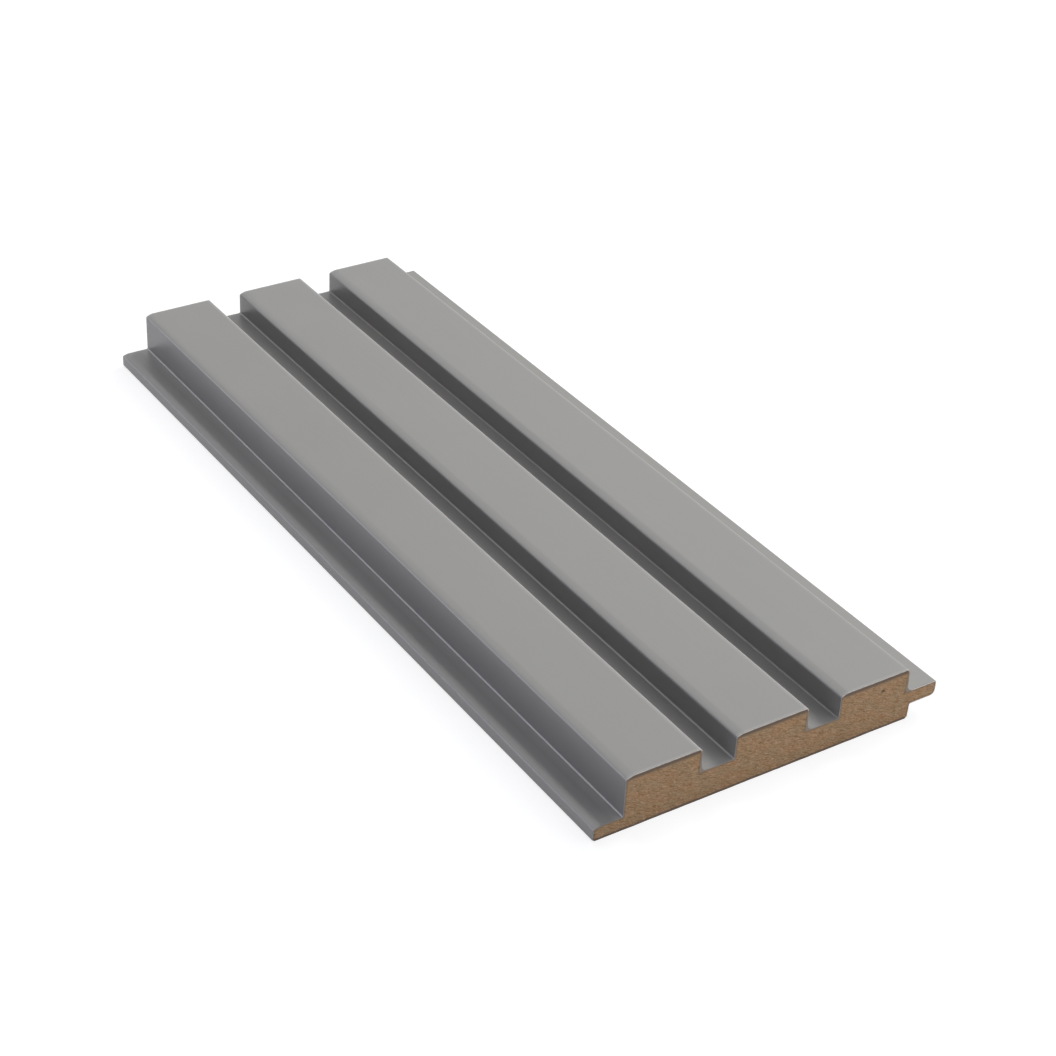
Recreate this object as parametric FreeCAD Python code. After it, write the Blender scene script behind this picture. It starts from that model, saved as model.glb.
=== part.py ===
# A short piece of slatted wall panel: a machined fibreboard core, wrapped in a thin decor film.
# One section runs the whole length. X crosses the panel from its lip to its tongue, Y runs along
# the slats from the sawn end that faces the viewer, and Z rises from the bare back at Z = 0.
import FreeCAD, Part
import math
import os

# Driving dimensions, millimetres, measured on the finished surface
slat_count = 3
pitch = 37.2  # from one slat's left arris to the next, also across the joint to the next panel
slat_width = 25.4  # across a slat's top, wall to wall
board_thickness = 18.0  # the fibreboard alone; the film on its face comes on top
lip_length = 9.7  # the low rebated strip that goes under the next panel's tongue
lip_thickness = 4.7
panel_length = 300.0

# The tongue covers the next panel's lip and stops just short of its first slat
tip_gap = 0.2  # between the tongue's tip and that slat
seat_gap = 0.4  # between the tongue and the lip below it
lip_gap = 0.1  # between the lip's end and the body that it comes up against
tongue_thickness = 5.0  # its top is level with the groove floors
undercut = 0.2  # the body's face below the tongue leans in this much at the back

# The film follows the core and bridges its sharp inner corners
film_thickness = 0.35
film_bridge = 0.5  # how much further it stands off at the feet of the walls that face the tongue
back_arris = 0.5  # round on the core's two long back edges; the film is trimmed where it starts

# The arrises that face the lip are eased: a slope runs down from the top to a small round at the wall
slat_ease_width = 1.9
slat_ease_drop = 0.8
slat_ease_round = 6.0  # where the slope leaves the flat top
lip_ease_width = 1.9
lip_ease_drop = 0.55
lip_ease_round = 8.5

# Corner radii on the finished surface
left_arris_round = 0.6  # at the wall, below an eased slope
slat_right_round = 1.0
left_foot_round = 0.5  # at the feet of the walls that face the lip, and below the tongue
right_foot_round = 2.0  # at the feet of the walls that face the tongue
tongue_upper_round = 0.6
tongue_lower_round = 1.8
core_foot_round = 0.4  # left in the core's inner corners by the cutter

# Places worked out from them, with X counted from the first slat's left arris
panel_thickness = board_thickness + film_thickness
cover_width = slat_count * pitch
tongue_tip = cover_width - tip_gap
tongue_seat = lip_thickness + seat_gap
groove_floor = tongue_seat + tongue_thickness
lower_face = cover_width - lip_length - lip_gap
overall_width = lip_length + tongue_tip
middle = overall_width / 2 - lip_length


# The two corners of an eased arris on a wall that faces the lip
def eased_arris(wall, top, width, drop, ease_round):
    return [(wall, top - drop, left_arris_round), (wall + width, top, ease_round)]


# Corners of the finished surface as (x, z, radius), from the lip's back edge over the slats and
# round the tongue to the other back edge, with the panel always on the right of the path. The walls
# that face the tongue stand out by the bridge at their feet.
def surface_corners(bridge):
    corners = [(-lip_length, back_arris, 0)]
    lip_ease = (lip_ease_width, lip_ease_drop, lip_ease_round)
    slat_ease = (slat_ease_width, slat_ease_drop, slat_ease_round)
    corners += eased_arris(-lip_length, lip_thickness, *lip_ease)
    for slat in range(slat_count):
        left = slat * pitch
        right = left + slat_width
        left_foot = groove_floor if slat else lip_thickness
        corners += [(left, left_foot, left_foot_round)]
        corners += eased_arris(left, panel_thickness, *slat_ease)
        corners += [
            (right, panel_thickness, slat_right_round),
            (right + bridge, groove_floor, right_foot_round),
        ]
    corners += [
        (tongue_tip, groove_floor, tongue_upper_round),
        (tongue_tip, tongue_seat, tongue_lower_round),
        (lower_face, tongue_seat, left_foot_round),
        (lower_face - undercut, back_arris, 0),
    ]
    return corners


# A corner's place on the sawn end nearest the viewer
def on_end(x, z):
    return FreeCAD.Vector(x - middle, -panel_length / 2, z)


def unit(vector):
    return vector / vector.Length


# The direction square to a run and into the panel
def inward(start, end):
    run = unit(end - start)
    return FreeCAD.Vector(run.z, 0, -run.x)


# Where the line through a point crosses another line, both given by a point and a direction
def crossing(point, direction, other, other_direction):
    across = FreeCAD.Vector(other_direction.z, 0, -other_direction.x)
    return point + direction * ((other - point).dot(across) / direction.dot(across))


# The core's corners under the film: each run moves in by the film's thickness, an outer corner
# loses that much radius, and an inner corner keeps the cutter's small one
def core_corners(points, radii):
    runs = list(zip(points, points[1:]))
    moved = [start + inward(start, end) * film_thickness for start, end in runs]
    directions = [unit(end - start) for start, end in runs]
    inner = [(moved[0], 0)]
    for before in range(len(runs) - 1):
        after = before + 1
        corner = crossing(moved[before], directions[before], moved[after], directions[after])
        is_outer = directions[before].cross(directions[after]).y > 0
        radius = max(radii[after] - film_thickness, 0) if is_outer else core_foot_round
        inner.append((corner, radius))
    end = points[-1] + inward(*runs[-1]) * film_thickness
    return inner + [(end, 0)]


# Where a run of the core, carried on, meets the back
def at_back(corner, end):
    return crossing(corner, unit(end - corner), on_end(0, 0), FreeCAD.Vector(1, 0, 0))


# Edges through the corners in turn, where a corner with a radius becomes a tangent arc
def rounded_edges(corners):
    spans = []
    for place, (corner, radius) in enumerate(corners):
        if radius == 0:
            spans.append((corner, None, corner))
            continue
        back = unit(corners[place - 1][0] - corner)
        ahead = unit(corners[(place + 1) % len(corners)][0] - corner)
        half_turn = (math.pi - back.getAngle(ahead)) / 2
        cut = radius * math.tan(half_turn)
        rise = radius / math.cos(half_turn) - radius
        spans.append((corner + back * cut, corner + unit(back + ahead) * rise, corner + ahead * cut))
    edges = []
    for (start, through, end), (next_start, _, _) in zip(spans, spans[1:] + spans[:1]):
        if through:
            edges.append(Part.Arc(start, through, end).toShape())
        edges.append(Part.LineSegment(end, next_start).toShape())
    return edges


# The panel's whole length of a closed section
def extruded(edges):
    return Part.Face(Part.Wire(edges)).extrude(FreeCAD.Vector(0, panel_length, 0))


surface = [(on_end(x, z), radius) for x, z, radius in surface_corners(film_bridge)]
unbridged = [(on_end(x, z), radius) for x, z, radius in surface_corners(0)]
under_film = core_corners([point for point, _ in unbridged], [radius for _, radius in unbridged])

# The core closes along the bare back, with both long back edges eased
body_back = at_back(under_film[-2][0], under_film[-1][0])
lip_back = at_back(under_film[1][0], under_film[0][0])
back = [(body_back, back_arris), (lip_back, back_arris)]
mdf_core = extruded(rounded_edges(under_film[1:-1] + back))

# The film is the band between the finished surface and the core, trimmed along both back edges
decor_film = extruded(rounded_edges(surface + under_film[::-1]))

os.makedirs("parts", exist_ok=True)
for node, solid in {"mdf_core": mdf_core, "decor_film": decor_film}.items():
    solid.exportStep(f"parts/{node}.step")
    box = solid.BoundBox
    print(node, "valid", solid.isValid(), "volume", round(solid.Volume), "mm3, box", box)
print("overlap", round(mdf_core.common(decor_film).Volume, 6), "mm3")
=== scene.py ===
# Slatted wall panel sample: a machined fibreboard core wrapped in a grey decor film, sawn square at both
# ends. The section runs along Y, the bare back lies on the floor, and lengths below are in millimetres.
import bpy
import math
import numpy as np
from mathutils import Matrix, Vector
from mathutils.geometry import delaunay_2d_cdt


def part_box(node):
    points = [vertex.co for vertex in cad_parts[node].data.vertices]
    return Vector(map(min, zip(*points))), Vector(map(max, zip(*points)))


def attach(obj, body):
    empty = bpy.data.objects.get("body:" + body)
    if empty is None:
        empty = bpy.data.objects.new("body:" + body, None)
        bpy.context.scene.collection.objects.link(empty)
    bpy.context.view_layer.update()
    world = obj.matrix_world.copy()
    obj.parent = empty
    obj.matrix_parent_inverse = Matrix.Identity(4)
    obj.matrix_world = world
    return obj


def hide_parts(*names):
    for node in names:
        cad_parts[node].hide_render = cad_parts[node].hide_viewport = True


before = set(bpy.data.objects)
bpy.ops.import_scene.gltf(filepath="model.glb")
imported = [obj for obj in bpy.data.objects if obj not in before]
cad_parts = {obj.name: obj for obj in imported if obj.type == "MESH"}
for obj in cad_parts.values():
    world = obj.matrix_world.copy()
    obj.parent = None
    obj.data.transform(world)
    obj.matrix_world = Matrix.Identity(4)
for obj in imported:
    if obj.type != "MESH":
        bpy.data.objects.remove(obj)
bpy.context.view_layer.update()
mm = 0.001


# Section: the outline that the film and the core both follow

section = {
    "slatCount": 3,
    "pitch": 37.2,
    "slatWidth": 25.4,
    "lipLength": 9.7,
    "lipThickness": 4.7,
    "tipGap": 0.2,
    "seatGap": 0.4,
    "lipGap": 0.1,
    "tongueThickness": 5.0,
    "undercut": 0.2,
    "filmThickness": 0.35,
    "filmBridge": 0.5,  # how much further the film stands off at the feet of the walls facing the tongue
    "backArris": 0.5,
    "slatEaseWidth": 1.9,  # the arrises facing the lip: a slope down from the top to a small round
    "slatEaseDrop": 0.8,
    "slatEaseRound": 6.0,
    "lipEaseWidth": 1.9,
    "lipEaseDrop": 0.55,
    "lipEaseRound": 8.5,
    "leftArrisRound": 0.6,
    "slatRightRound": 1.0,
    "leftFootRound": 0.5,
    "rightFootRound": 2.0,
    "tongueUpperRound": 0.6,
    "tongueLowerRound": 1.8,
    "coreFootRound": 0.4,
    "leastRound": 0.05,  # of the core's outer corners
    "arcPoints": 12,  # along each rounded corner
    "runPoints": 24,  # along each straight run
}

filmLow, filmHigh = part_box("decor_film")
halfLength = filmHigh.y / mm
thickness = filmHigh.z / mm
lipEdge = filmLow.x / mm  # the lip's outer face
boardFace = thickness - section["filmThickness"]
lipCorners, slatCorners = 3, 5  # how many corners of the surface belong to the lip and to each slat


# Corners of the finished surface as rows of x, z and radius: up the lip, over the slats, round the tongue
# and down to the back, with the board always on the right of the path
def surfaceCorners(s, bridge):
    slat1 = lipEdge + s["lipLength"]
    seat = s["lipThickness"] + s["seatGap"]
    groove = seat + s["tongueThickness"]
    cover = s["slatCount"] * s["pitch"]
    tip = slat1 + cover - s["tipGap"]
    lower = slat1 + cover - s["lipLength"] - s["lipGap"]
    rows = [
        (lipEdge, s["backArris"], 0),
        (lipEdge, s["lipThickness"] - s["lipEaseDrop"], s["leftArrisRound"]),
        (lipEdge + s["lipEaseWidth"], s["lipThickness"], s["lipEaseRound"]),
    ]
    for slat in range(s["slatCount"]):
        left = slat1 + slat * s["pitch"]
        right = left + s["slatWidth"]
        foot = groove if slat else s["lipThickness"]
        rows += [
            (left, foot, s["leftFootRound"]),
            (left, thickness - s["slatEaseDrop"], s["leftArrisRound"]),
            (left + s["slatEaseWidth"], thickness, s["slatEaseRound"]),
            (right, thickness, s["slatRightRound"]),
            (right + bridge, groove, s["rightFootRound"]),
        ]
    rows += [
        (tip, groove, s["tongueUpperRound"]),
        (tip, seat, s["tongueLowerRound"]),
        (lower, seat, s["leftFootRound"]),
        (lower - s["undercut"], s["backArris"], 0),
    ]
    return np.array(rows, float)


# Each row divided by its length
def unit(v):
    return v / np.linalg.norm(v, axis=-1, keepdims=True)


# A row turned a quarter turn clockwise, which points from the path into the board
def toInside(v):
    return np.stack([v[..., 1], -v[..., 0]], -1)


# The core's corners under the film: each run moves in by the film's thickness and meets its neighbours
# again, outer corners lose that much radius and inner ones keep the cutter's small radius
def coreCorners(rows, s):
    points, radii = rows[:, :2], rows[:, 2]
    along = unit(np.diff(points, axis=0))
    moved = points[:-1] + toInside(along) * s["filmThickness"]
    last = points[-1] + toInside(along[-1]) * s["filmThickness"]
    across = toInside(along[1:])
    reach = ((moved[1:] - moved[:-1]) * across).sum(1) / (along[:-1] * across).sum(1)
    crossings = moved[:-1] + along[:-1] * reach[:, None]
    turnsIn = along[:-1, 0] * along[1:, 1] - along[:-1, 1] * along[1:, 0] > 0
    outerRound = np.maximum(radii[1:-1] - s["filmThickness"], s["leastRound"])
    inner = np.where(turnsIn, s["coreFootRound"], outerRound)
    places = np.vstack([moved[0], crossings, last])
    return np.column_stack([places, np.concatenate([[0], inner, [0]])])


# The outline as points of x and z: every corner is an arc tangent to its two runs and every run is divided
# evenly, so two outlines with as many corners get points that pair up
def outline(rows, s, closed=False):
    points, radii = rows[:, :2], rows[:, 2]
    before = np.roll(points, 1, 0)
    after = np.roll(points, -1, 0)
    if not closed:
        before[0], after[-1] = points[0] * 2 - points[1], points[-1] * 2 - points[-2]
    comes, goes = unit(points - before), unit(after - points)
    turn = np.arctan2(comes[:, 0] * goes[:, 1] - comes[:, 1] * goes[:, 0], (comes * goes).sum(1))
    cut = radii * np.tan(np.abs(turn) / 2)
    starts = points - comes * cut[:, None]
    side = np.sign(turn)[:, None] * np.stack([-comes[:, 1], comes[:, 0]], 1)
    centres = starts + side * radii[:, None]
    sweep = turn[:, None] * np.linspace(0, 1, s["arcPoints"])[None, :]
    cos, sin = np.cos(sweep)[..., None], np.sin(sweep)[..., None]
    spoke = -side[:, None, :] * radii[:, None, None]
    arcs = centres[:, None] + spoke * cos + np.stack([-spoke[..., 1], spoke[..., 0]], -1) * sin
    ends = arcs[:, -1]
    share = np.linspace(0, 1, s["runPoints"] + 2)[1:-1]
    runs = ends[:, None] + (np.roll(starts, -1, 0) - ends)[:, None] * share[None, :, None]
    path = np.concatenate([arcs, runs], 1).reshape(-1, 2)
    if closed:
        return path
    return openPart(path, s)


# The points of an open outline, without those that repeat its two ends
def openPart(path, s):
    return path[s["arcPoints"] - 1 : len(path) - s["runPoints"] - s["arcPoints"] + 1]


# Smooth random field from -1 to 1: values on a square lattice, blended with an eased step between neighbours
def softNoise(u, v, seed):
    side = 512
    lattice = np.random.default_rng(seed).random((side, side)) * 2 - 1
    iu, iv = np.floor(u).astype(int), np.floor(v).astype(int)
    fu, fv = u - iu, v - iv
    fu, fv = fu * fu * (3 - 2 * fu), fv * fv * (3 - 2 * fv)
    iu, iv, ju, jv = iu % side, iv % side, (iu + 1) % side, (iv + 1) % side
    near = lattice[iu, iv] * (1 - fu) + lattice[ju, iv] * fu
    far = lattice[iu, jv] * (1 - fu) + lattice[ju, jv] * fu
    return near * (1 - fv) + far * fv


sharpAngle = 40.0  # degrees between two faces from which the edge between them is shaded sharp


# A finished piece from points in millimetres and faces, riding on the panel and standing for a CAD node;
# each face has the number of its material, and faces whose number is in facets are shaded flat
def makePiece(name, points, faces, numbers, materials, node, facets=()):
    mesh = bpy.data.meshes.new(name)
    mesh.from_pydata((points * mm).tolist(), [], faces)
    for material in materials:
        mesh.materials.append(material)
    mesh.polygons.foreach_set("material_index", np.asarray(numbers, np.int32))
    mesh.set_sharp_from_angle(angle=math.radians(sharpAngle))  # this makes every face smooth
    mesh.polygons.foreach_set("use_smooth", ~np.isin(numbers, facets))
    mesh.update()
    piece = bpy.data.objects.new(name, mesh)
    bpy.context.scene.collection.objects.link(piece)
    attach(piece, "root")
    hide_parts(node)
    print(name, "has", len(points), "points and", len(faces), "faces")
    return piece


# Shader maths: a Wire is one output of a node, and sums and products on it add the nodes that work them out

class Wire:
    def __init__(self, tree, socket=None):
        self.tree = tree
        self.socket = socket

    # Adds a node of this kind, with its settings first and then a number, a colour or a wire for each input
    def node(self, kind, settings={}, inputs={}, output=0):
        made = self.tree.nodes.new(kind)
        for name, value in settings.items():
            setattr(made, name, value)
        for name, value in inputs.items():
            if isinstance(value, Wire):
                self.tree.links.new(value.socket, made.inputs[name])
            else:
                made.inputs[name].default_value = value
        return Wire(self.tree, made.outputs[output])

    # The result of one Math node on wires and numbers
    def maths(self, operation, *terms):
        return self.node("ShaderNodeMath", {"operation": operation}, dict(enumerate(terms)))

    def __add__(self, other):
        return self.maths("ADD", self, other)

    def __sub__(self, other):
        return self.maths("SUBTRACT", self, other)

    def __rsub__(self, other):
        return self.maths("SUBTRACT", other, self)

    def __mul__(self, other):
        return self.maths("MULTIPLY", self, other)

    __radd__ = __add__
    __rmul__ = __mul__

    # The larger of two numbers at each point
    def larger(self, other):
        return self.maths("MAXIMUM", self, other)

    # A vector stretched by three numbers
    def stretch(self, x, y, z):
        return self.node("ShaderNodeVectorMath", {"operation": "MULTIPLY"}, {0: self, 1: (x, y, z)})

    # A vector turned about the Y axis, so that what lay along X rises to the right by this many degrees
    def turned(self, degrees):
        inputs = {"Vector": self, "Axis": (0, 1, 0), "Angle": math.radians(degrees)}
        return self.node("ShaderNodeVectorRotate", {}, inputs)

    # A colour made darker or lighter by a number or a wire
    def shade(self, factor):
        return self.node("ShaderNodeVectorMath", {"operation": "SCALE"}, {"Vector": self, "Scale": factor})

    # A colour with the same number or wire added to each part
    def plus(self, number):
        return self.node("ShaderNodeVectorMath", {"operation": "ADD"}, {0: self, 1: number})

    # How far this vector is from a point, in steps of its own size along each axis
    def distance(self, centre, size):
        fromCentre = self.node("ShaderNodeVectorMath", {"operation": "SUBTRACT"}, {0: self, 1: centre})
        scaled = fromCentre.stretch(*(1 / step for step in size))
        return self.node("ShaderNodeVectorMath", {"operation": "LENGTH"}, {0: scaled}, "Value")

    # One of a vector's three numbers
    def part(self, axis):
        return self.node("ShaderNodeSeparateXYZ", {}, {0: self}, axis)

    # Soft noise at this place, about 0.5 with most of it within 0.25 either side
    def noise(self, detail=2.0, roughness=0.5, distortion=0.0):
        inputs = {"Vector": self, "Scale": 1.0}
        inputs.update({"Detail": detail, "Roughness": roughness, "Distortion": distortion})
        return self.node("ShaderNodeTexNoise", {}, inputs)

    # Eased step from 0 at one value to 1 at the other, which may be the lower one
    def rise(self, zero, one):
        inputs = {"Value": self, "From Min": zero, "From Max": one}
        return self.node("ShaderNodeMapRange", {"interpolation_type": "SMOOTHSTEP"}, inputs)

    # A colour mixed towards another by this mask
    def blend(self, colour, other):
        inputs = {0: self, 6: colour, 7: other}
        return self.node("ShaderNodeMix", {"data_type": "RGBA"}, inputs, 2)

    # Surface relief as a normal, with its full height in millimetres
    def bump(self, height):
        return self.node("ShaderNodeBump", {}, {"Height": self, "Distance": height * mm}, "Normal")


# A colour with full alpha
def opaque(colour):
    return (*colour, 1)


# A new material, its shader and the object's coordinates in millimetres
def startMaterial(name, roughness):
    material = bpy.data.materials.new(name)
    material.use_nodes = True
    tree = material.node_tree
    shader = tree.nodes["Principled BSDF"]
    shader.inputs["Roughness"].default_value = roughness
    place = Wire(tree).node("ShaderNodeTexCoord", output="Object").stretch(1 / mm, 1 / mm, 1 / mm)
    return material, shader, place


# Links a wire to one of the shader's inputs
def feed(shader, name, wire):
    wire.tree.links.new(wire.socket, shader.inputs[name])


# Film: satin grey, with a fine pressed grain and faint streaks along its length, and painted highlights
# along its arrises, in the folds at the walls' feet and on the tops at its sawn ends. In this and the other
# finishes a scale is how often a pattern repeats in a millimetre along X, Y and Z, a height is in
# millimetres, and a pair of noise values is where a mask starts and where it is full.

filmFinish = {
    "grey": (0.304, 0.295, 0.280),
    "roughness": 0.34,
    "grainSize": 0.3,
    "grainHeight": 0.008,
    "grainRoughness": 0.12,  # how much the grain changes the roughness
    "clouds": 0.08,  # strength in the tone
    "cloudScale": (0.05, 0.03, 0.05),
    "cloudRoughness": 0.1,
    "streaks": 0.04,
    "streakScale": (1.4, 0.02, 1.4),
}


def filmMaterial(f):
    material, shader, place = startMaterial("satin grey film", f["roughness"])
    clouds = place.stretch(*f["cloudScale"]).noise() - 0.5
    streaks = place.stretch(*f["streakScale"]).noise(detail=4) - 0.5
    # painted highlight: lighter film over the arrises, in the folds at the walls' feet and at the sawn ends
    paintedHighlight = place.node("ShaderNodeAttribute", {"attribute_name": "paintedHighlight"}, output="Fac")
    tone = clouds * f["clouds"] + streaks * f["streaks"] + paintedHighlight + 1
    grey = place.node("ShaderNodeRGB")
    grey.socket.default_value = opaque(f["grey"])
    feed(shader, "Base Color", grey.shade(tone))
    grain = place.stretch(*[1 / f["grainSize"]] * 3).noise(detail=3, roughness=0.6)
    roughness = (grain - 0.5) * f["grainRoughness"] + (clouds * f["cloudRoughness"] + f["roughness"])
    feed(shader, "Roughness", roughness)
    feed(shader, "Normal", grain.bump(f["grainHeight"]))
    return material


# The film's cut edge: pale foil, slightly frayed, and darker below the slats' tops: stain and painted shade

edgeFinish = {
    "pale": (0.9, 0.82, 0.72),
    "stainAndShade": (0.35, 0.29, 0.225),
    "paleFrom": (17.0, 17.8),  # heights where the slats' edge turns from stain and painted shade to pale
    "tongueFrom": (50.5, 52.0),  # and where along X the tongue's does
    "patchScale": (0.9, 0.9, 0.9),
    "patchesFrom": (0.72, 0.5),
    "frayScale": (4, 4, 4),
    "frayHeight": 0.03,
    "roughness": 0.6,
}


def edgeMaterial(f):
    material, shader, place = startMaterial("film cut edge", f["roughness"])
    patches = place.stretch(*f["patchScale"]).noise(detail=4, roughness=0.7).rise(*f["patchesFrom"])
    # painted shade: the edge stays dark in the grooves and along the lip, away from the tops and the tongue
    outside = place.part("Z").rise(*f["paleFrom"]).larger(place.part("X").rise(*f["tongueFrom"]))
    feed(shader, "Base Color", (patches * outside).blend(opaque(f["stainAndShade"]), opaque(f["pale"])))
    feed(shader, "Normal", place.stretch(*f["frayScale"]).noise(detail=3).bump(f["frayHeight"]))
    return material


# Glue: a thin dark line between film and board

glueFinish = {
    "dark": (0.13, 0.085, 0.05),
    "light": (0.26, 0.18, 0.11),
    "patchScale": (0.6, 0.6, 0.6),
    "patchesFrom": (0.4, 0.7),
    "roughness": 0.5,
}


def glueMaterial(f):
    material, shader, place = startMaterial("glue line", f["roughness"])
    patches = place.stretch(*f["patchScale"]).noise(detail=3).rise(*f["patchesFrom"])
    feed(shader, "Base Color", patches.blend(opaque(f["dark"]), opaque(f["light"])))
    return material


# Sawn fibreboard: short pressed fibres that lie flat in the board, warm and olive patches, a few light
# fibres and dark specks, and the dense dark layers just under the board's two faces

fibreSlope = -23.0  # degrees that the fibres rise towards +X on the sawn ends; below 0 they fall

sawnFinish = {
    "warm": (0.508, 0.304, 0.153),
    "olive": (0.466, 0.305, 0.163),
    "deep": (0.29, 0.18, 0.098),
    "pale": (0.61, 0.41, 0.24),
    "dense": (0.19, 0.14, 0.095),
    "roughness": 0.85,
    "patchScale": (0.14, 0.2, 0.28),  # these three scales are along and across the sloping fibres
    "fibreScale": (0.4, 0.7, 1.9),
    "grainScale": (1.15, 2.2, 4.8),
    "patchesFrom": (0.36, 0.64),
    "deepFrom": (0.4, 0.2),
    "paleFrom": (0.64, 0.8),
    "fibreContrast": 1.75,
    "grainContrast": 1.85,
    "toneShare": 0.5,  # half of this contrast keeps the brown's hue
    "toneAdded": 0.16,  # and the rest is added to all three colours alike
    "fibreHeight": 0.12,
    "grainShare": 0.5,  # of the grain in the relief
    "faceLayer": (1.6, 0.55),  # depths under the slats' film where the dense dark layer fades in and is full
    "backLayer": (1.1, 0.55),
    "layerUneven": 0.9,  # how far fibres and grain shift the layers' limits
    "glued": 0.62,  # how far the glue's dark edge under the film goes from brown to dense
    "bark": (0.16, 0.092, 0.05),
    "dotScale": (0.8, 0.8, 1.5),
    "dotsFrom": (0.72, 0.78),
    "speck": (39.6, -150, 13.9),  # one dark bark speck in the third slat
    "speckSize": (0.75, 2, 0.55),
    "speckEdge": (1.1, 0.7),  # parts of its size where it starts and is full
}


def sawnMaterial(f):
    material, shader, place = startMaterial("sawn fibreboard", f["roughness"])
    leaning = place.turned(fibreSlope)
    patches = leaning.stretch(*f["patchScale"]).noise(detail=3, roughness=0.6).rise(*f["patchesFrom"])
    fibres = leaning.stretch(*f["fibreScale"]).noise(detail=3, roughness=0.7, distortion=0.6)
    grains = leaning.stretch(*f["grainScale"]).noise(detail=3, roughness=0.6, distortion=0.2)
    brown = patches.blend(opaque(f["warm"]), opaque(f["olive"]))
    brown = fibres.rise(*f["deepFrom"]).blend(brown, opaque(f["deep"]))
    brown = fibres.rise(*f["paleFrom"]).blend(brown, opaque(f["pale"]))
    tone = (fibres - 0.5) * f["fibreContrast"] + (grains - 0.5) * f["grainContrast"]
    brown = brown.shade(tone * f["toneShare"] + 1).plus(tone * f["toneAdded"])
    dots = place.stretch(*f["dotScale"]).noise(detail=1).rise(*f["dotsFrom"])
    speck = place.distance(f["speck"], f["speckSize"]).rise(*f["speckEdge"])
    brown = dots.larger(speck).blend(brown, opaque(f["bark"]))
    uneven = f["layerUneven"]
    height = place.part("Z") + (grains - 0.5) * uneven + (fibres - 0.5) * uneven
    face = height.rise(*(boardFace - depth for depth in f["faceLayer"]))
    back = height.rise(*f["backLayer"])
    glued = place.node("ShaderNodeAttribute", {"attribute_name": "glued"}, output="Fac") * f["glued"]
    brown = face.larger(back).larger(glued).blend(brown, opaque(f["dense"]))
    feed(shader, "Base Color", brown)
    feed(shader, "Normal", (fibres + grains * f["grainShare"]).bump(f["fibreHeight"]))
    return material


# Sanded fibreboard of the bare back: even brown with fine flecks and the sanding belt's lines along Y

sandedFinish = {
    "brown": (0.44, 0.30, 0.18),
    "fleck": (0.26, 0.16, 0.09),
    "fleckScale": (0.9, 0.9, 2),
    "flecksFrom": (0.55, 0.8),
    "lineScale": (2.5, 0.03, 2.5),
    "cloudScale": (0.04, 0.03, 0.04),
    "lines": 0.3,  # strengths in the tone
    "clouds": 0.35,
    "height": 0.03,
    "fleckShare": 0.5,  # of the flecks in the relief
    "roughness": 0.75,
}


def sandedMaterial(f):
    material, shader, place = startMaterial("sanded fibreboard", f["roughness"])
    flecks = place.stretch(*f["fleckScale"]).noise(detail=4, roughness=0.7, distortion=0.6)
    lines = place.stretch(*f["lineScale"]).noise(detail=4) - 0.5
    clouds = place.stretch(*f["cloudScale"]).noise(detail=3) - 0.5
    brown = flecks.rise(*f["flecksFrom"]).blend(opaque(f["brown"]), opaque(f["fleck"]))
    feed(shader, "Base Color", brown.shade(lines * f["lines"] + clouds * f["clouds"] + 1))
    feed(shader, "Normal", (flecks * f["fleckShare"] + lines).bump(f["height"]))
    return material


# Film piece: the band between the finished surface and the core. It runs through stations along Y that
# crowd towards the sawn ends, where its edge is slightly ragged and the glue behind it is sunk in.

film = {
    "crowded": (0, 0.1, 0.3, 1, 3, 8),  # first stations, from each sawn end
    "spacing": 12,  # between the stations after them
    "glueLine": 0.07,  # how wide the glue shows behind the cut edge, and how deep it is sunk
    "glueSunk": 0.05,
    "burr": 0.035,  # how far the cut edge stands out, more or less
    "burrMean": 0.6,  # parts of it that the edge stands out everywhere
    "raggedSizes": (0.9, 0.35),  # coarse and fine steps along the cut edge
    "raggedFine": 0.6,  # strength of the fine steps beside the coarse ones
    "rimSize": 0.6,  # steps along the line between film and glue
    "raggedSeeds": (21, 31, 41),  # coarse, fine and rim
    "lipArrisHighlight": 0.85,  # painted highlight: how much lighter the film is over each arris
    "leftArrisHighlights": (1.0, 0.15, 0.3),
    "rightArrisHighlights": ((0.18, 0.6), (0.18, 0.6), (0.08, 0.05)),  # where the arris starts, and midway
    "footHighlights": (1.45, 0.75, 0.28),  # painted highlight in the fold at the foot of each slat's wall
    "lipHighlight": 0.55,  # painted highlight on the lip at the first wall
    "lipHighlightFade": 3.0,  # and how far from that wall it ends
    "endHighlight": (0.35, 0.35, 0.2),  # painted highlight: how much lighter the first stations of each end are
    "endHighlightFrom": 17.0,  # on the slats' tops above this height
}


# Points of the outline by how far along it they are
def travelled(path):
    steps = np.linalg.norm(np.diff(path, axis=0), axis=1)
    return np.concatenate([[0], np.cumsum(steps)])


# Painted highlight along the film's outline, as how much lighter it is: over each arc a part that starts
# high and fades, and a part strongest midway, and on the lip a faint lightening growing towards the first
# wall
def highlightTones(corners, along, s):
    arc, run = section["arcPoints"], section["runPoints"]
    share = np.linspace(0, 1, arc)
    foot = lipCorners + slatCorners * np.arange(section["slatCount"])  # the first of each slat's corners
    lipArris, leftArris, rightArris = 1, foot + 1, foot + 3
    starts, middles = np.zeros((2, corners, 1))
    middles[lipArris] = s["lipArrisHighlight"]
    middles[foot, 0] = s["footHighlights"]
    middles[leftArris, 0] = s["leftArrisHighlights"]
    starts[rightArris, 0], middles[rightArris, 0] = np.transpose(s["rightArrisHighlights"])
    tones = np.zeros((corners, arc + run))
    tones[:, :arc] = starts * (1 - share) + middles * np.sin(np.pi * share)
    toFoot = along[openPart(np.arange(tones.size), section) == foot[0] * (arc + run)] - along
    near = np.where(toFoot > 0, 1 - toFoot / s["lipHighlightFade"], 0)
    return np.maximum(openPart(tones.ravel(), section), s["lipHighlight"] * np.clip(near, 0, 1))


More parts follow.
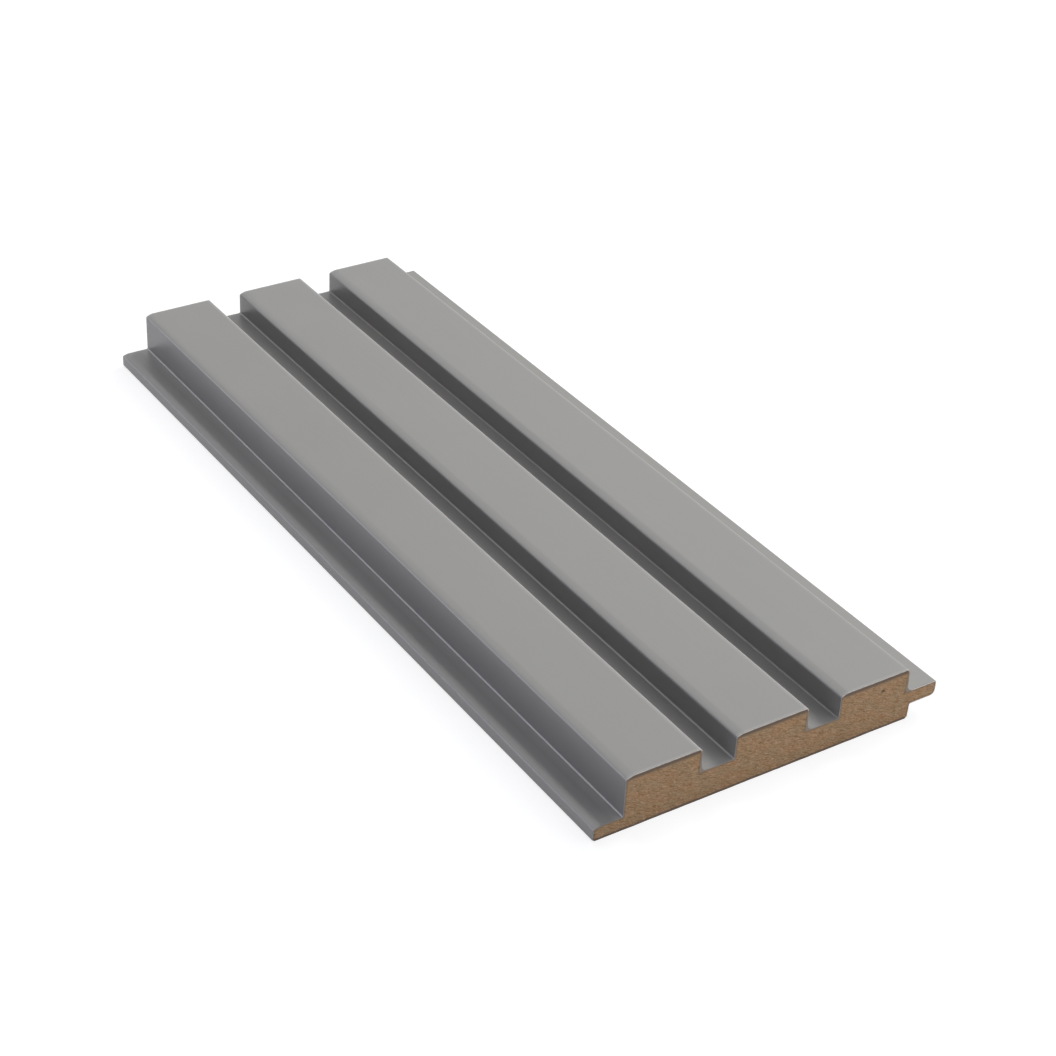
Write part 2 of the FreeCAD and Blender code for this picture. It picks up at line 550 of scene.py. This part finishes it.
# Places along Y: crowded ones from each sawn end, and evenly spaced ones between them
def filmStations(s):
    near = np.array(s["crowded"], float)
    middle = halfLength - near[-1]
    evenly = np.linspace(-middle, middle, round(2 * middle / s["spacing"]) + 1)
    return np.concatenate([near[:-1] - halfLength, evenly, halfLength - near[-2::-1]])


# How far the cut edge and the line between film and glue stand out at one end, -1 or 1: soft noise along
# the outline, in coarse and fine steps for the edge
def raggedEdge(along, end, s):
    sizes = (*s["raggedSizes"], s["rimSize"])
    steps = [softNoise(along / size, along * 0, seed + end) for size, seed in zip(sizes, s["raggedSeeds"])]
    coarse, fine, rim = steps
    return s["burr"] * (s["burrMean"] + (coarse + s["raggedFine"] * fine)), s["burr"] * rim


# Faces of the film with their materials: sides between neighbouring stations, and on each sawn end the foil
# down to the rim, the glue from the rim to the board and a triangle at both trimmed edges
def filmFaces(count, stations):
    total = 2 * count
    ring = np.arange(total)
    first = np.arange(stations - 1)[:, None] * total
    here, ahead = first + ring, first + (ring + 1) % total
    sides = np.stack([here, ahead, ahead + total, here + total], -1).reshape(-1, 4)
    k = np.arange(count - 1)
    rear = (stations - 1) * total
    frontRim, rearRim = stations * total, stations * total + count
    foil = np.stack([k, frontRim + k, frontRim + k + 1, k + 1], -1)
    paste = np.stack([frontRim + k, total - 1 - k, total - 2 - k, frontRim + k + 1], -1)
    rearFoil = np.stack([rear + k, rear + k + 1, rearRim + k + 1, rearRim + k], -1)
    rearPaste = np.stack([rearRim + k, rearRim + k + 1, rear + total - 2 - k, rear + total - 1 - k], -1)
    caps = [(0, total - 1, frontRim), (count - 1, frontRim + count - 1, count)]
    caps += [(rearRim, rear + total - 1, rear), (rear + count, rearRim + count - 1, rear + count - 1)]
    faces = np.vstack([sides, foil, rearFoil, paste, rearPaste]).tolist() + caps
    return faces, [0] * len(sides) + [1] * (2 * len(k)) + [2] * (2 * len(k)) + [1] * len(caps)


# The film from loops of its outline, outside and back along the core, set at each station, with its cut
# edges ragged and the glue sunk, and its painted highlight tones kept at its points
def makeFilm(s):
    rows = surfaceCorners(section, section["filmBridge"])
    outer = outline(rows, section)
    inner = outline(coreCorners(surfaceCorners(section, 0), section), section)
    width = np.linalg.norm(inner - outer, axis=1, keepdims=True)
    glue = outer + (inner - outer) * (1 - s["glueLine"] / width)
    y = filmStations(s)
    count, total = len(outer), 2 * len(outer)
    points = np.empty((len(y), total, 3))
    points[:, :, ::2] = np.vstack([outer, inner[::-1]])
    points[:, :, 1] = y[:, None]
    along = travelled(outer)
    rims = []
    for end, station in ((-1, 0), (1, len(y) - 1)):
        burr, rimBurr = raggedEdge(along, end, s)
        points[station, :count, 1] += end * burr
        points[station, count:, 1] -= end * s["glueSunk"]
        rims.append(np.column_stack([glue[:, 0], end * (halfLength + rimBurr), glue[:, 1]]))
    faces, numbers = filmFaces(count, len(y))
    materials = [filmMaterial(filmFinish), edgeMaterial(edgeFinish), glueMaterial(glueFinish)]
    every = np.vstack([points.reshape(-1, 3), *rims])
    piece = makePiece("film_skin", every, faces, numbers, materials, "decor_film")
    # painted highlights, kept at the outer points of every station
    tones = np.zeros((len(y), total))
    tones[:, :count] = highlightTones(len(rows), along, s)
    # painted highlight on the slats' tops at the first stations of each sawn end
    sawn = np.array(s["endHighlight"])[:, None] * (outer[:, 1] > s["endHighlightFrom"])
    tones[: len(sawn), :count] += sawn
    tones[-len(sawn) :, :count] += sawn[::-1]
    tones = np.concatenate([tones.ravel(), np.zeros(2 * count)])
    piece.data.attributes.new("paintedHighlight", "FLOAT", "POINT").data.foreach_set("value", tones)
    return piece


# Core piece: its outline closes along the bare back. The sawn ends are triangulated finely enough to carry
# pressed fibres, lumps, torn pits and the blade's faint curved marks as real relief.

core = {
    "spacing": 0.34,  # between points on the sawn ends
    "scatter": 0.3,  # how far each point strays from its place, as a part of the spacing
    "scatterSeed": 11,
    "rings": (0.12, 0.3),  # rows of points that follow the outline, this far inside it
    "tolerance": 1e-5,  # points nearer to each other than this become one
    "reliefSeeds": (51, 61),  # front and rear
    "fibres": 0.035,
    "fibreSizes": ((1.7, 0.55), (0.8, 0.4)),  # coarse and fine, along and across the sloping fibres
    "fibresFine": 0.6,  # strength of the fine ones beside the coarse ones
    "lumps": 0.03,
    "lumpSize": (4, 2.4),
    "pits": 0.16,
    "pitSize": (1.1, 0.7),
    "pitsFrom": 0.72,  # noise above this digs a pit
    "bladeMarks": 0.012,
    "bladePitch": 2.3,
    "bladeCentre": (-40, -120),  # where the saw blade's axle passed, which curves its marks
    "glueReach": 0.5,  # how far the glue darkens the board under the film
}


# Height of the sawn face at each point: the sum of coarse and fine soft noise for the fibres, broad noise
# for lumps, less the pits where one more noise is at its highest, and a sine of the distance from the
# blade's centre for its marks
def sawnRelief(flat, s, seed):
    slope = math.radians(fibreSlope)
    x = flat[:, 0] * math.cos(slope) + flat[:, 1] * math.sin(slope)
    z = flat[:, 1] * math.cos(slope) - flat[:, 0] * math.sin(slope)
    sizes = (*s["fibreSizes"], s["lumpSize"], s["pitSize"])
    fields = [softNoise(x / length, z / width, seed + i) for i, (length, width) in enumerate(sizes)]
    coarse, fine, lumps, deep = fields
    fibres = coarse + s["fibresFine"] * fine
    pits = np.clip(deep - s["pitsFrom"], 0, None) / (1 - s["pitsFrom"])
    radius = np.hypot(flat[:, 0] - s["bladeCentre"][0], flat[:, 1] - s["bladeCentre"][1])
    marks = np.sin(radius * 2 * np.pi / s["bladePitch"])
    return fibres * s["fibres"] + lumps * s["lumps"] - pits * s["pits"] + marks * s["bladeMarks"]


# The core's closed outline, with its two lowest runs carried on to the back
def coreOutline():
    rows = coreCorners(surfaceCorners(section, 0), section)
    down = unit(rows[-1, :2] - rows[-2, :2])
    tongueSide = rows[-2, 0] - down[0] * rows[-2, 1] / down[1]
    backs = [[tongueSide, 0, section["backArris"]], [rows[0, 0], 0, section["backArris"]]]
    return outline(np.vstack([rows[1:-1], backs]), section, closed=True)


# How far each point is from a path: the least distance to the nearest point on any of its straight steps
def distanceTo(path, flat):
    start, run = path[:-1], np.diff(path, axis=0)
    reach = flat[:, None] - start
    share = np.clip((reach * run).sum(2) / (run * run).sum(1), 0, 1)
    return np.sqrt(((reach - run * share[..., None]) ** 2).sum(2).min(1))


# A sawn end as flat points of x and z with triangles between them, from the outline, rows that follow it
# and a scattered grid, and the numbers of its points along the outline
def endTriangles(edge, s):
    rng = np.random.default_rng(s["scatterSeed"])
    gx, gz = np.meshgrid(*(np.arange(a, b, s["spacing"]) for a, b in zip(edge.min(0), edge.max(0))))
    strayed = rng.uniform(-s["scatter"], s["scatter"], (gx.size, 2)) * s["spacing"]
    grid = np.stack([gx.ravel(), gz.ravel()], 1) + strayed
    normal = toInside(unit(np.roll(edge, -1, 0) - np.roll(edge, 1, 0)))
    loops = [edge] + [edge + normal * inset for inset in s["rings"]]
    candidates = [Vector(p) for p in np.vstack(loops + [grid])]
    n = len(edge)
    border = [(i, (i + 1) % n) for i in range(n)]
    onlyInside = 1  # the triangulation's way to leave out what lies outside the border
    triangulated = delaunay_2d_cdt(candidates, border, [list(range(n))], onlyInside, s["tolerance"])
    verts, _, tris, origin, _, _ = triangulated
    flat, tris = np.array([tuple(v) for v in verts]), np.array(tris)
    used = np.unique(tris)
    place = np.full(len(flat), -1)
    place[used] = np.arange(len(used))
    source = np.array([o[0] if o else -1 for o in origin])
    onEdge = np.empty(n, int)
    isEdge = (source >= 0) & (source < n)
    onEdge[source[isEdge]] = place[isEdge]
    return flat[used], place[tris], onEdge


# The core from two sawn ends with their relief and long sides between them. How near a point is to the
# glued film is kept at the points, from 1 at the film to 0 at the glue's reach.
def makeCore(s):
    flat, tris, onEdge = endTriangles(coreOutline(), s)
    frontRelief, rearRelief = (sawnRelief(flat, s, seed) for seed in s["reliefSeeds"])
    front = np.column_stack([flat[:, 0], -halfLength - frontRelief, flat[:, 1]])
    rear = np.column_stack([flat[:, 0], halfLength + rearRelief, flat[:, 1]])
    m = len(flat)
    following = np.roll(onEdge, -1)
    sides = np.stack([onEdge, following, following + m, onEdge + m], 1)
    faces = tris.tolist() + (tris[:, ::-1] + m).tolist() + sides.tolist()
    numbers = [0] * (2 * len(tris)) + [1] * len(sides)
    materials = [sawnMaterial(sawnFinish), sandedMaterial(sandedFinish)]
    points = np.vstack([front, rear])
    piece = makePiece("board_core", points, faces, numbers, materials, "mdf_core", facets=(1,))
    filmSide = outline(coreCorners(surfaceCorners(section, 0), section), section)
    glued = np.clip(1 - distanceTo(filmSide, flat) / s["glueReach"], 0, 1)
    piece.data.attributes.new("glued", "FLOAT", "POINT").data.foreach_set("value", np.tile(glued, 2))
    return piece


filmSkin = makeFilm(film)
boardCore = makeCore(core)
for node, piece in (("decor_film", filmSkin), ("mdf_core", boardCore)):
    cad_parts[node].data.materials.clear()
    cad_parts[node].data.materials.append(piece.data.materials[0])


# Camera

view = {
    "lens": 78.898,
    "sensor": 36.0,
    "place": (-350.467, -532.259, 408.418),
    "azimuth": -34.563,  # degrees, from +Y towards +X
    "elevation": 32.803,
    "lean": 3.106,  # degrees that the picture's upright leans to the right
    "nearest": 0.01,  # metres from the camera at which things start to show
}


# The camera in its place, turned by its azimuth, tilted by its elevation and rolled by its lean
def makeCamera(v):
    camera = bpy.data.objects.new("camera", bpy.data.cameras.new("camera"))
    bpy.context.scene.collection.objects.link(camera)
    turn = Matrix.Rotation(math.radians(v["azimuth"]), 4, "Z")
    tilt = Matrix.Rotation(math.radians(90 - v["elevation"]), 4, "X")
    roll = Matrix.Rotation(math.radians(v["lean"]), 4, "Z")
    camera.matrix_world = Matrix.Translation(Vector(v["place"]) * mm) @ turn @ tilt @ roll
    camera.data.lens = v["lens"]
    camera.data.sensor_width = v["sensor"]
    camera.data.clip_start = v["nearest"]
    bpy.context.scene.camera = camera


# Floor and world: white wherever the camera or a reflection looks, and the floor keeps a light shadow

ground = {
    "half": 1200.0,
    "drop": 0.02,  # below the panel's back
    "grey": 0.7,  # as other surfaces see it
    "glow": 0.82,  # as the camera sees it: the part of its white that no shadow takes away
    "lit": 0.35,  # and the grey that the lamps add to it
    "ambient": (0.109, 0.119, 0.178),  # light from the world on surfaces
}


# 1 for rays from the camera, from a reflection or through a clear thing
def shownRays(start):
    camera = start.node("ShaderNodeLightPath", output="Is Camera Ray")
    glossy = start.node("ShaderNodeLightPath", output="Is Glossy Ray")
    through = start.node("ShaderNodeLightPath", output="Is Transmission Ray")
    return camera.larger(glossy).larger(through)


# One square under the panel: plain grey for other surfaces, glowing and lit for shown rays
def makeFloor(g):
    sides = ((-1, -1), (1, -1), (1, 1), (-1, 1))
    corners = np.array([(x * g["half"], y * g["half"], -g["drop"]) for x, y in sides])
    mesh = bpy.data.meshes.new("floor")
    mesh.from_pydata((corners * mm).tolist(), [], [(0, 1, 2, 3)])
    floor = bpy.data.objects.new("floor", mesh)
    bpy.context.scene.collection.objects.link(floor)
    material = bpy.data.materials.new("white floor")
    material.use_nodes = True
    tree = material.node_tree
    tree.nodes.remove(tree.nodes["Principled BSDF"])
    start = Wire(tree)
    plain = start.node("ShaderNodeBsdfDiffuse", {}, {"Color": opaque([g["grey"]] * 3)})
    lit = start.node("ShaderNodeBsdfDiffuse", {}, {"Color": opaque([g["lit"]] * 3)})
    glow = start.node("ShaderNodeEmission", {}, {"Color": (1, 1, 1, 1), "Strength": g["glow"]})
    shown = start.node("ShaderNodeAddShader", {}, {0: lit, 1: glow})
    surface = start.node("ShaderNodeMixShader", {}, {0: shownRays(start), 1: plain, 2: shown})
    tree.links.new(surface.socket, tree.nodes["Material Output"].inputs["Surface"])
    mesh.materials.append(material)


# The world: white for shown rays, and its faint ambient light for all others
def makeWorld(g):
    world = bpy.data.worlds.new("world")
    bpy.context.scene.world = world
    world.use_nodes = True
    tree = world.node_tree
    colour = shownRays(Wire(tree)).blend(opaque(g["ambient"]), (1, 1, 1, 1))
    tree.links.new(colour.socket, tree.nodes["Background"].inputs["Color"])


# Lamps: soft discs round the panel, each with its azimuth from +Y towards +X, its elevation, its width and
# height in metres, its watts and its colour

lamps = {
    "behindRight": (45, 40, 1.4, 1.4, 5.0, (1, 1, 0.94)),
    "behind": (0, 30, 1.4, 1.4, 3.5, (1, 1, 0.94)),
    "behindHigh": (0, 60, 1.4, 1.4, 11.1, (1, 1, 0.94)),
    "left": (-90, 5, 3.0, 0.4, 9.0, (0.95, 0.97, 1.08)),
    "right": (80, 40, 1.4, 1.4, 30.0, (1, 1, 0.94)),
    "frontRight": (135, 25, 2.3, 2.3, 20.6, (1, 1, 1)),
}
lampDistance = 2.5  # metres from the panel


# Each lamp at its angles on a ball of that radius, facing the panel
def makeLamps():
    for name, (azimuth, elevation, width, height, watts, colour) in lamps.items():
        light = bpy.data.lights.new(name, "AREA")
        light.shape = "ELLIPSE"
        light.size = width
        light.size_y = height
        light.energy = watts
        light.color = colour
        lamp = bpy.data.objects.new(name, light)
        bpy.context.scene.collection.objects.link(lamp)
        az, el = math.radians(azimuth), math.radians(elevation)
        at = Vector((math.sin(az) * math.cos(el), math.cos(az) * math.cos(el), math.sin(el))) * lampDistance
        lamp.matrix_world = Matrix.Translation(at) @ at.to_track_quat("Z", "Y").to_matrix().to_4x4()


makeCamera(view)
makeFloor(ground)
makeWorld(ground)
makeLamps()
bpy.context.scene.view_settings.view_transform = "Standard"
print("camera, floor, world and", len(lamps), "lamps are in place")
